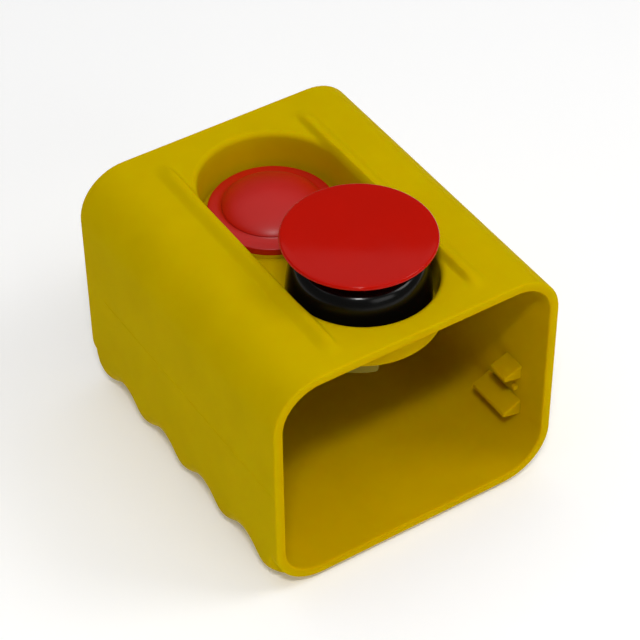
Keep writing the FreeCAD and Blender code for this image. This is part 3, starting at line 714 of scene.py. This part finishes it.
def lock_nut_sheet(y, lugs):
    """Ring nut whose outside steps smoothly between its waist and its lugs.

    The outer radius at angle a is waist + lug * step, where step is a smooth square wave
    of the cosine of (lugs * a); edges are rounded by the usual quarter circle.
    """
    low, high = NUTS_LOW.z, NUTS_HIGH.z
    waist, lug, bore = 17.6 * MM, 2.1 * MM, 15.0 * MM
    angle = np.linspace(0, 2 * math.pi, 288, endpoint=False)
    wave = np.cos(lugs * (angle - math.radians(50.5)))
    outer = waist + lug * smoothstep(wave, -0.16, 0.16)
    turn = np.linspace(0, math.pi / 2, 4)
    bevel = 0.35 * MM
    inset = np.concatenate([bevel * (1 - np.sin(turn)), bevel * (1 - np.cos(turn))])
    height = np.concatenate([low + bevel * (1 - np.cos(turn)), high - bevel * (1 - np.sin(turn))])
    rings = [(outer - i, np.full_like(outer, h)) for i, h in zip(inset, height)]
    rings += [(np.full_like(outer, bore + 0.3 * MM), np.full_like(outer, high)),
              (np.full_like(outer, bore), np.full_like(outer, high - 0.3 * MM)),
              (np.full_like(outer, bore), np.full_like(outer, low + 0.3 * MM)),
              (np.full_like(outer, bore + 0.3 * MM), np.full_like(outer, low))]
    radius = np.stack([ring[0] for ring in rings])
    z = np.stack([ring[1] for ring in rings])
    points = np.stack([radius * np.cos(angle), y + radius * np.sin(angle), z], axis=-1)
    return grid(points, around=True, across=True)


# ---------------------------------------------------------------- cable end pieces

def rounded_rectangle(half_width, low, high, radius, steps=10):
    """Anticlockwise outline in x and z with four round corners."""
    return rounded([(-half_width, low), (half_width, low), (half_width, high),
                    (-half_width, high)], radius, steps=steps)


def end_cap_sheets():
    """Closing plate with a sunk panel and a raised ring round the cable inlet.

    The plate is a surface from its outer edge inwards: rounded edge, border, step down to
    the panel, and lines that run on to the round inlet.
    """
    low, high = PLATE_LOW, PLATE_HIGH
    half, radius = high.x, 11.5 * MM
    inlet = np.array([0.0, (GROMMET_LOW.z + GROMMET_HIGH.z) / 2])
    bevel, border, sunk = 0.4 * MM, 5.0 * MM, 1.0 * MM

    def frame_line(inset, depth):
        outline = rounded_rectangle(half - inset, low.z + inset, high.z - inset,
                                    max(radius - inset, 2 * MM), steps=12)
        return np.stack([outline[:, 0], np.full(len(outline), depth), outline[:, 1]], axis=-1)

    def inlet_line(radius_here, depth):
        outline = frame_line(border, 0)[:, [0, 2]] - inlet
        out = outline / np.linalg.norm(outline, axis=1, keepdims=True)
        ring = inlet + out * radius_here
        return np.stack([ring[:, 0], np.full(len(ring), depth), ring[:, 1]], axis=-1)

    back, front = high.y, low.y
    turn = np.linspace(0, math.pi / 2, 4)
    rows = [frame_line(bevel * (1 - math.sin(t)), front + bevel * (1 - math.cos(t))) for t in turn]
    rows += [frame_line(bevel * (1 - math.cos(t)), back - bevel * (1 - math.sin(t))) for t in turn]
    rows += [frame_line(border - 0.5 * MM, back), frame_line(border - 0.2 * MM, back - 0.1 * MM),
             frame_line(border, back - 0.4 * MM), frame_line(border, back - sunk)]
    rows += [inlet_line(r * MM, back - sunk + h * MM) for r, h in
             ((15, 0), (11.3, 0), (11.0, 0.15), (10.9, 0.75), (10.6, 1.0), (8.3, 1.0), (8.0, 0.8))]
    rows += [inlet_line(8 * MM, front), frame_line(border, front)]
    return [grid(np.array(rows), around=True, across=True)]


def grommet_sheet():
    """Rubber grommet: waist in the plate, a flange each side, soft edges, round bore."""
    low, high = GROMMET_LOW.y, GROMMET_HIGH.y
    centre = (0, (GROMMET_LOW.z + GROMMET_HIGH.z) / 2)
    front, back = PLATE_LOW.y - 0.05 * MM, PLATE_HIGH.y + 0.05 * MM
    flange, waist, bore = GROMMET_HIGH.x, 7.95 * MM, 4.5 * MM
    profile = rounded([(bore, low), (flange, low), (flange, front), (waist, front),
                       (waist, back), (flange, back), (flange, high), (bore, high)],
                      [0.7 * MM, 0.8 * MM, 0.3 * MM, 0.1 * MM, 0.1 * MM, 0.3 * MM, 0.8 * MM,
                       0.7 * MM], steps=5)
    return lathe_along_y(profile, centre, closed=True, segments=96)


# ---------------------------------------------------------------- finishes

def add_noise(nodes, links, coords, size, detail=2.0, stretch=(1.0, 1.0, 1.0)):
    """Noise whose features are about size across, stretched along the axes."""
    mapping = nodes.new("ShaderNodeMapping")
    mapping.inputs["Scale"].default_value = stretch
    links.new(coords.outputs["Object"], mapping.inputs["Vector"])
    noise = nodes.new("ShaderNodeTexNoise")
    noise.inputs["Scale"].default_value = 1 / size
    noise.inputs["Detail"].default_value = detail
    links.new(mapping.outputs["Vector"], noise.inputs["Vector"])
    return noise.outputs["Fac"]


def add_range(nodes, links, value, low, high, to_low, to_high):
    """Value rescaled from low..high to to_low..to_high and held between them."""
    scaled = nodes.new("ShaderNodeMapRange")
    for name, number in (("From Min", low), ("From Max", high),
                         ("To Min", to_low), ("To Max", to_high)):
        scaled.inputs[name].default_value = number
    links.new(value, scaled.inputs["Value"])
    return scaled.outputs["Result"]


def add_painted_shade(material, name, shade_factor):
    """Painted shade: multiply the finish's colour by the given shade factor where the mesh's named
    attribute is 1.
    """
    nodes, links = material.node_tree.nodes, material.node_tree.links
    shader = nodes["Principled BSDF"]
    tone = shader.inputs["Base Color"].links[0].from_socket
    depth = nodes.new("ShaderNodeAttribute")
    depth.attribute_name = name
    painted_shade_mix = nodes.new("ShaderNodeMix")
    painted_shade_mix.data_type = "RGBA"
    painted_shade_mix.blend_type = "MULTIPLY"
    painted_shade_mix.inputs["B"].default_value = (*shade_factor, 1)
    links.new(depth.outputs["Fac"], painted_shade_mix.inputs["Factor"])
    links.new(tone, painted_shade_mix.inputs["A"])
    links.new(painted_shade_mix.outputs["Result"], shader.inputs["Base Color"])


def mark_painted_shade(piece, sizes):
    """Attribute "inside", the share of painted shade: 1 on the cavity's walls, less down in the pocket,
    0 outside.

    The walls are told apart by the distance from a point to the shell's rounded outline,
    negative inside it.
    """
    mesh = piece.data
    points = np.empty(len(mesh.vertices) * 3, np.float32)
    mesh.vertices.foreach_get("co", points)
    x, y, z = points.reshape(-1, 3).T
    radius = sizes.corner_radius
    middle = (sizes.top + sizes.shell_bottom) / 2
    over = np.stack([np.abs(x) - sizes.half_width,
                     np.abs(z - middle) - (sizes.top - middle)]) + radius
    distance = np.hypot(*np.maximum(over, 0)) + np.minimum(over.max(axis=0), 0) - radius
    inside = (distance < -0.6 * sizes.wall) & (y < HALF_LENGTH - 0.2 * MM)
    reach = np.clip(y, Pocket.front_centre, Pocket.rear_centre)
    in_pocket = (np.hypot(x, y - reach) < Pocket.rim_radius + 0.3 * MM)
    in_pocket &= z > Pocket.floor - 0.5 * MM
    depth = smoothstep(z, sizes.top, sizes.top - 6 * MM)
    share = np.where(in_pocket, 0.5 * depth, inside.astype(float))
    mesh.attributes.new("inside", "FLOAT", "POINT").data.foreach_set(
        "value", share.astype(np.float32))


def finish_material(name, colour, roughness, tone=0.05, tone_size=14 * MM, spread=0.05,
                    smudge_size=9 * MM, grain=0.30 * MM, grain_height=0.004 * MM,
                    stretch=(1.0, 1.0, 1.0), wave=0.0, wave_size=22 * MM, **sockets):
    """Procedural finish: cloudy tone, smudged roughness, fine grain and a slow waviness.

    Colour runs from colour * (1 - tone) to colour * (1 + tone), roughness from
    roughness - spread to roughness + spread, and sockets are constants on the shader.
    """
    material = bpy.data.materials.new(name)
    material.use_nodes = True
    nodes, links = material.node_tree.nodes, material.node_tree.links
    shader = nodes["Principled BSDF"]
    for socket, value in sockets.items():
        shader.inputs[socket.replace("_", " ")].default_value = value
    coords = nodes.new("ShaderNodeTexCoord")
    cloud = add_noise(nodes, links, coords, tone_size, 3.0)
    blend = nodes.new("ShaderNodeMix")
    blend.data_type = "RGBA"
    blend.inputs["A"].default_value = (*[c * (1 - tone) for c in colour], 1)
    blend.inputs["B"].default_value = (*[min(c * (1 + tone), 1) for c in colour], 1)
    links.new(add_range(nodes, links, cloud, 0.3, 0.7, 0.0, 1.0), blend.inputs["Factor"])
    links.new(blend.outputs["Result"], shader.inputs["Base Color"])

    smudge = add_noise(nodes, links, coords, smudge_size, 4.0)
    links.new(add_range(nodes, links, smudge, 0.3, 0.7, roughness - spread, roughness + spread),
              shader.inputs["Roughness"])

    fine = nodes.new("ShaderNodeBump")
    fine.inputs["Strength"].default_value = 1.0
    fine.inputs["Distance"].default_value = grain_height
    links.new(add_noise(nodes, links, coords, grain, 2.0, stretch), fine.inputs["Height"])
    if wave > 0:
        slow = nodes.new("ShaderNodeBump")
        slow.inputs["Strength"].default_value = 1.0
        slow.inputs["Distance"].default_value = wave
        links.new(add_noise(nodes, links, coords, wave_size, 1.0), slow.inputs["Height"])
        links.new(slow.outputs["Normal"], fine.inputs["Normal"])
    links.new(fine.outputs["Normal"], shader.inputs["Normal"])
    return material


def finish(name):
    """Finish of a material slot, made once and then shared."""
    made = bpy.data.materials.get(name)
    if made:
        return made
    shell = bpy.context.scene.station_housing
    buttons = bpy.context.scene.station_buttons
    if name == "moulded_yellow":
        made = finish_material(name, shell.colour, 0.36, tone=0.03, spread=0.05,
                               grain=0.28 * MM, grain_height=0.005 * MM, wave=0.10 * MM,
                               wave_size=24 * MM, Specular_IOR_Level=0.0008,
                               Subsurface_Weight=0.3, Subsurface_Scale=3 * MM,
                               Subsurface_Radius=(1.0, 0.42, 0.02))
        # Painted shade: a deeper yellow, with less green, on the cavity's walls and down in the pocket
        add_painted_shade(made, "inside", (1.0, 0.90, 1.0))
        return made
    if name == "glossy_red":
        return finish_material(name, buttons.head_colour, 0.075, tone=0.03, spread=0.02,
                               grain=0.45 * MM, grain_height=0.0006 * MM, wave=0.012 * MM,
                               wave_size=16 * MM, Specular_IOR_Level=0.11)
    if name == "satin_red":
        return finish_material(name, buttons.button_colour, 0.42, tone=0.04, spread=0.05,
                               grain=0.35 * MM, grain_height=0.003 * MM,
                               Specular_IOR_Level=0.36)
    if name == "glossy_black":
        return finish_material(name, (0.0015, 0.0015, 0.0011), 0.19, tone=0.15, spread=0.04,
                               grain=0.4 * MM, grain_height=0.001 * MM, wave=0.012 * MM,
                               wave_size=12 * MM, Specular_IOR_Level=0.26)
    if name == "satin_black":
        return finish_material(name, (0.014, 0.014, 0.014), 0.36, tone=0.12,
                               grain=0.3 * MM, grain_height=0.006 * MM)
    if name == "soft_rubber":
        return finish_material(name, (0.018, 0.018, 0.019), 0.68, tone=0.18, spread=0.08,
                               grain=0.22 * MM, grain_height=0.014 * MM)
    if name == "olive_nylon":
        return finish_material(name, buttons.nut_colour, 0.42, tone=0.07,
                               grain=0.3 * MM, grain_height=0.008 * MM,
                               Specular_IOR_Level=0.06)
    if name == "ivory_nylon":
        return finish_material(name, (0.62, 0.57, 0.44), 0.38, tone=0.05,
                               grain=0.3 * MM, grain_height=0.006 * MM)
    if name == "brushed_brass":
        return finish_material(name, (0.72, 0.50, 0.19), 0.30, tone=0.12, tone_size=5 * MM,
                               grain=0.12 * MM, grain_height=0.004 * MM, stretch=(0.15, 1, 1),
                               Metallic=1.0)
    if name == "spring_wire":
        return finish_material(name, (0.52, 0.52, 0.53), 0.26, tone=0.10, tone_size=4 * MM,
                               grain=0.15 * MM, grain_height=0.003 * MM, Metallic=1.0)
    return finish_material("zinc_plating", (0.62, 0.63, 0.64), 0.33, tone=0.12, tone_size=4 * MM,
                           grain=0.18 * MM, grain_height=0.006 * MM, Metallic=1.0)


SLOT_FINISHES = {
    "yellow_shell": "moulded_yellow", "red_gloss_plastic": "glossy_red",
    "red_satin_plastic": "satin_red", "black_gloss_plastic": "glossy_black",
    "black_satin_plastic": "satin_black", "black_rubber": "soft_rubber",
    "olive_plastic": "olive_nylon", "ivory_plastic": "ivory_nylon",
    "contact_brass": "brushed_brass", "zinc_steel": "zinc_plating", "spring_steel": "spring_wire",
}


def place_piece(name, sheets, slot_name, body, *nodes, smooth_angle=34.0):
    """Mesh, finish, body and replaced CAD nodes of one piece, in one go."""
    piece = make_piece(name, sheets, smooth_angle)
    piece.data.materials.append(finish(SLOT_FINISHES[slot_name]))
    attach(piece, body)
    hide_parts(*nodes)
    return piece


def dress_node(node, slot_name, bevel=0.0):
    """Finish for a carried-over CAD node, with its loose triangles joined and edges broken."""
    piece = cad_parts[node]
    material = finish(SLOT_FINISHES[slot_name])
    for place in piece.material_slots:
        place.material = material
    weld = piece.modifiers.new("Join", "WELD")
    weld.merge_threshold = 1e-6
    if bevel > 0:
        rounding = piece.modifiers.new("Edges", "BEVEL")
        rounding.width = bevel
        rounding.segments = 2
        rounding.limit_method = "ANGLE"
        rounding.angle_limit = math.radians(40)
        rounding.harden_normals = True


# ---------------------------------------------------------------- operators

class OBJECT_OT_station_housing(bpy.types.Operator):
    """Make the moulded grip housing"""
    bl_idname = "object.station_housing"
    bl_label = "Housing"

    def execute(self, context):
        sizes = context.scene.station_housing
        piece = place_piece("grip_housing", housing_sheets(sizes), "yellow_shell",
                            "station", "housing")
        # Painted shade: mark where the yellow is darkened inside the cavity and down the pocket
        mark_painted_shade(piece, sizes)
        return {"FINISHED"}


class OBJECT_OT_station_front_head(bpy.types.Operator):
    """Make the mushroom head, its collar and its barrel"""
    bl_idname = "object.station_front_head"
    bl_label = "Mushroom Head"

    def execute(self, context):
        sizes = context.scene.station_buttons
        place_piece("mushroom_head", [mushroom_cap_sheet(sizes)], "red_gloss_plastic",
                    "front_head", "mushroom_cap")
        place_piece("head_collar", [collar_sheet()], "black_gloss_plastic",
                    "station", "front_collar")
        place_piece("head_barrel", [front_body_sheet(sizes)], "black_satin_plastic",
                    "station", "front_operator_body")
        return {"FINISHED"}


class OBJECT_OT_station_rear_button(bpy.types.Operator):
    """Make the domed button, its bezel and its barrel"""
    bl_idname = "object.station_rear_button"
    bl_label = "Domed Button"

    def execute(self, context):
        sizes = context.scene.station_buttons
        place_piece("dome", [domed_button_sheet()], "red_satin_plastic",
                    "rear_head", "domed_button")
        place_piece("dome_bezel", [bezel_sheet(sizes)], "red_satin_plastic", "station", "rear_bezel")
        place_piece("dome_barrel", [rear_body_sheet(sizes)], "black_satin_plastic",
                    "station", "rear_operator_body")
        return {"FINISHED"}


class OBJECT_OT_station_ring_nuts(bpy.types.Operator):
    """Make the two lugged ring nuts under the pocket floor"""
    bl_idname = "object.station_ring_nuts"
    bl_label = "Ring Nuts"

    def execute(self, context):
        lugs = context.scene.station_buttons.lugs
        sheets = [lock_nut_sheet(FRONT_Y, lugs), lock_nut_sheet(REAR_Y, lugs)]
        place_piece("ring_nuts", sheets, "olive_plastic", "station", "lock_nuts")
        return {"FINISHED"}


class OBJECT_OT_station_springs(bpy.types.Operator):
    """Finish both return springs and give each a mesh of its own"""
    bl_idname = "object.station_springs"
    bl_label = "Return Springs"

    def execute(self, context):
        for side, travel in (("front", 3.5 * MM), ("rear", 2.5 * MM)):
            node = f"{side}_return_spring"
            dress_node(node, "spring_steel")
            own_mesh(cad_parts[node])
        return {"FINISHED"}


class OBJECT_OT_station_cable_end(bpy.types.Operator):
    """Make the closing plate and the grommet, and finish the gasket and screws"""
    bl_idname = "object.station_cable_end"
    bl_label = "Cable End"

    def execute(self, context):
        place_piece("closing_plate", end_cap_sheets(), "yellow_shell", "station", "end_cap")
        place_piece("inlet_grommet", [grommet_sheet()], "black_rubber",
                    "station", "cable_grommet")
        dress_node("end_cap_gasket", "black_rubber")
        dress_node("end_cap_screws", "zinc_steel", bevel=0.08 * MM)
        return {"FINISHED"}


class OBJECT_OT_station_works(bpy.types.Operator):
    """Finish the contact blocks, stems, clips and seals inside the station"""
    bl_idname = "object.station_works"
    bl_label = "Contacts and Stems"

    def execute(self, context):
        for side in ("front", "rear"):
            dress_node(f"{side}_contact_block", "ivory_plastic", bevel=0.3 * MM)
            dress_node(f"{side}_fixed_contacts", "contact_brass", bevel=0.1 * MM)
            dress_node(f"{side}_contact_bridge", "contact_brass", bevel=0.1 * MM)
            dress_node(f"{side}_contact_plunger", "black_satin_plastic", bevel=0.2 * MM)
            dress_node(f"{side}_stem", "black_satin_plastic", bevel=0.2 * MM)
            dress_node(f"{side}_clip", "spring_steel", bevel=0.1 * MM)
            dress_node(f"{side}_stem_seal", "black_rubber")
            dress_node(f"{side}_gasket", "black_rubber", bevel=0.1 * MM)
        dress_node("terminal_screws", "zinc_steel", bevel=0.1 * MM)
        dress_node("contact_block_screws", "zinc_steel", bevel=0.1 * MM)
        return {"FINISHED"}


def aim_at(thing, place, target, up=Vector((0, 0, 1)), roll=0.0):
    """Put a camera or light at place so that its -Z looks at target."""
    back = (Vector(place) - Vector(target)).normalized()
    right = up.cross(back).normalized()
    above = back.cross(right)
    turned_right = right * math.cos(roll) + above * math.sin(roll)
    turned_up = above * math.cos(roll) - right * math.sin(roll)
    turn = Matrix((turned_right, turned_up, back)).transposed().to_4x4()
    thing.matrix_world = Matrix.Translation(place) @ turn


def add_softbox(name, place, target, width, height, power, up=Vector((0, 0, 1))):
    """Rectangular studio light."""
    light = bpy.data.lights.new(name, "AREA")
    light.shape = "RECTANGLE"
    light.size, light.size_y = width, height
    light.energy = power
    lamp = bpy.data.objects.new(name, light)
    bpy.context.scene.collection.objects.link(lamp)
    aim_at(lamp, place, target, up)


class OBJECT_OT_station_studio(bpy.types.Operator):
    """Set up the floor, the soft lights and the camera"""
    bl_idname = "object.station_studio"
    bl_label = "Studio"

    def execute(self, context):
        scene = context.scene
        studio = scene.station_studio
        reach = np.linspace(-6.0, 6.0, 7)
        x, y = np.meshgrid(reach, reach, indexing="ij")
        floor = make_piece("floor", [grid(np.stack([x, y, np.zeros_like(x)], axis=-1))])
        if floor.data.polygons[0].normal.z < 0:
            floor.data.flip_normals()
        floor.data.materials.append(finish_material(
            "pale_floor", studio.backdrop, 0.85, tone=0.01, tone_size=0.3, spread=0.02,
            grain=1.5 * MM, grain_height=0.01 * MM, Specular_IOR_Level=0.1,
            Emission_Color=(1, 1, 1, 1), Emission_Strength=0.12))

        world = bpy.data.worlds.new("studio_world")
        scene.world = world
        world.use_nodes = True
        backdrop = world.node_tree.nodes["Background"]
        backdrop.inputs["Color"].default_value = (1.0, 1.0, 1.0, 1.0)
        backdrop.inputs["Strength"].default_value = 0.17

        centre = Vector((0, 0, 45 * MM))
        ahead = Vector((-math.sin(studio.azimuth), math.cos(studio.azimuth), 0))
        ceiling = ahead * 0.515 + Vector((0, 0, 2.0))
        add_softbox("ceiling_panel", ceiling, ceiling - Vector((0, 0, 1)), 4.0, 3.14, 26.5,
                    up=ahead)
        key = (Vector((0, 0, 0.82)) - ahead * 0.57).normalized() * 1.2
        add_softbox("key_softbox", centre + key, centre, 0.16, 0.09, 5.0)
        add_softbox("front_softbox", (0.12, -1.15, 0.66), centre, 0.7, 0.45, 1.6)
        add_softbox("right_softbox", (0.75, -0.55, 1.0), centre, 0.5, 0.5, 4.0)

        camera = bpy.data.cameras.new("studio_camera")
        camera.sensor_width = 36.0
        camera.lens = studio.lens
        camera.clip_start, camera.clip_end = 0.01, 50.0
        eye = bpy.data.objects.new("studio_camera", camera)
        scene.collection.objects.link(eye)
        level = math.cos(studio.elevation)
        back = Vector((math.sin(studio.azimuth) * level, -math.cos(studio.azimuth) * level,
                       math.sin(studio.elevation)))
        aim = Vector((-2.8, -7.0, 47.1)) * MM
        aim_at(eye, aim + back * studio.distance, aim, roll=studio.roll)
        scene.camera = eye
        scene.view_settings.view_transform = "Standard"
        scene.view_settings.look = "None"
        return {"FINISHED"}


class VIEW3D_PT_station(bpy.types.Panel):
    """Sidebar panel of the pendant station"""
    bl_idname = "VIEW3D_PT_station"
    bl_label = "Pendant Station"
    bl_space_type = "VIEW_3D"
    bl_region_type = "UI"
    bl_category = "Pendant Station"

    def draw(self, context):
        layout = self.layout
        for group in ("station_housing", "station_buttons", "station_studio"):
            settings = getattr(context.scene, group)
            box = layout.box()
            for name in settings.__annotations__:
                box.prop(settings, name)
        for operator in OPERATORS:
            layout.operator(operator.bl_idname)


SETTINGS = (StationHousingSettings, StationButtonSettings, StationStudioSettings)
OPERATORS = (
    OBJECT_OT_station_studio,
    OBJECT_OT_station_housing,
    OBJECT_OT_station_front_head,
    OBJECT_OT_station_rear_button,
    OBJECT_OT_station_ring_nuts,
    OBJECT_OT_station_springs,
    OBJECT_OT_station_cable_end,
    OBJECT_OT_station_works,
)


def register():
    for item in SETTINGS + OPERATORS + (VIEW3D_PT_station,):
        bpy.utils.register_class(item)
    bpy.types.Scene.station_housing = PointerProperty(type=StationHousingSettings)
    bpy.types.Scene.station_buttons = PointerProperty(type=StationButtonSettings)
    bpy.types.Scene.station_studio = PointerProperty(type=StationStudioSettings)


def unregister():
    for group in ("station_housing", "station_buttons", "station_studio"):
        delattr(bpy.types.Scene, group)
    for item in reversed(SETTINGS + OPERATORS + (VIEW3D_PT_station,)):
        bpy.utils.unregister_class(item)


def main():
    register()
    bpy.ops.object.station_studio()
    bpy.ops.object.station_housing()
    bpy.ops.object.station_front_head()
    bpy.ops.object.station_rear_button()
    bpy.ops.object.station_ring_nuts()
    bpy.ops.object.station_springs()
    bpy.ops.object.station_cable_end()
    bpy.ops.object.station_works()


if __name__ == "__main__":
    main()
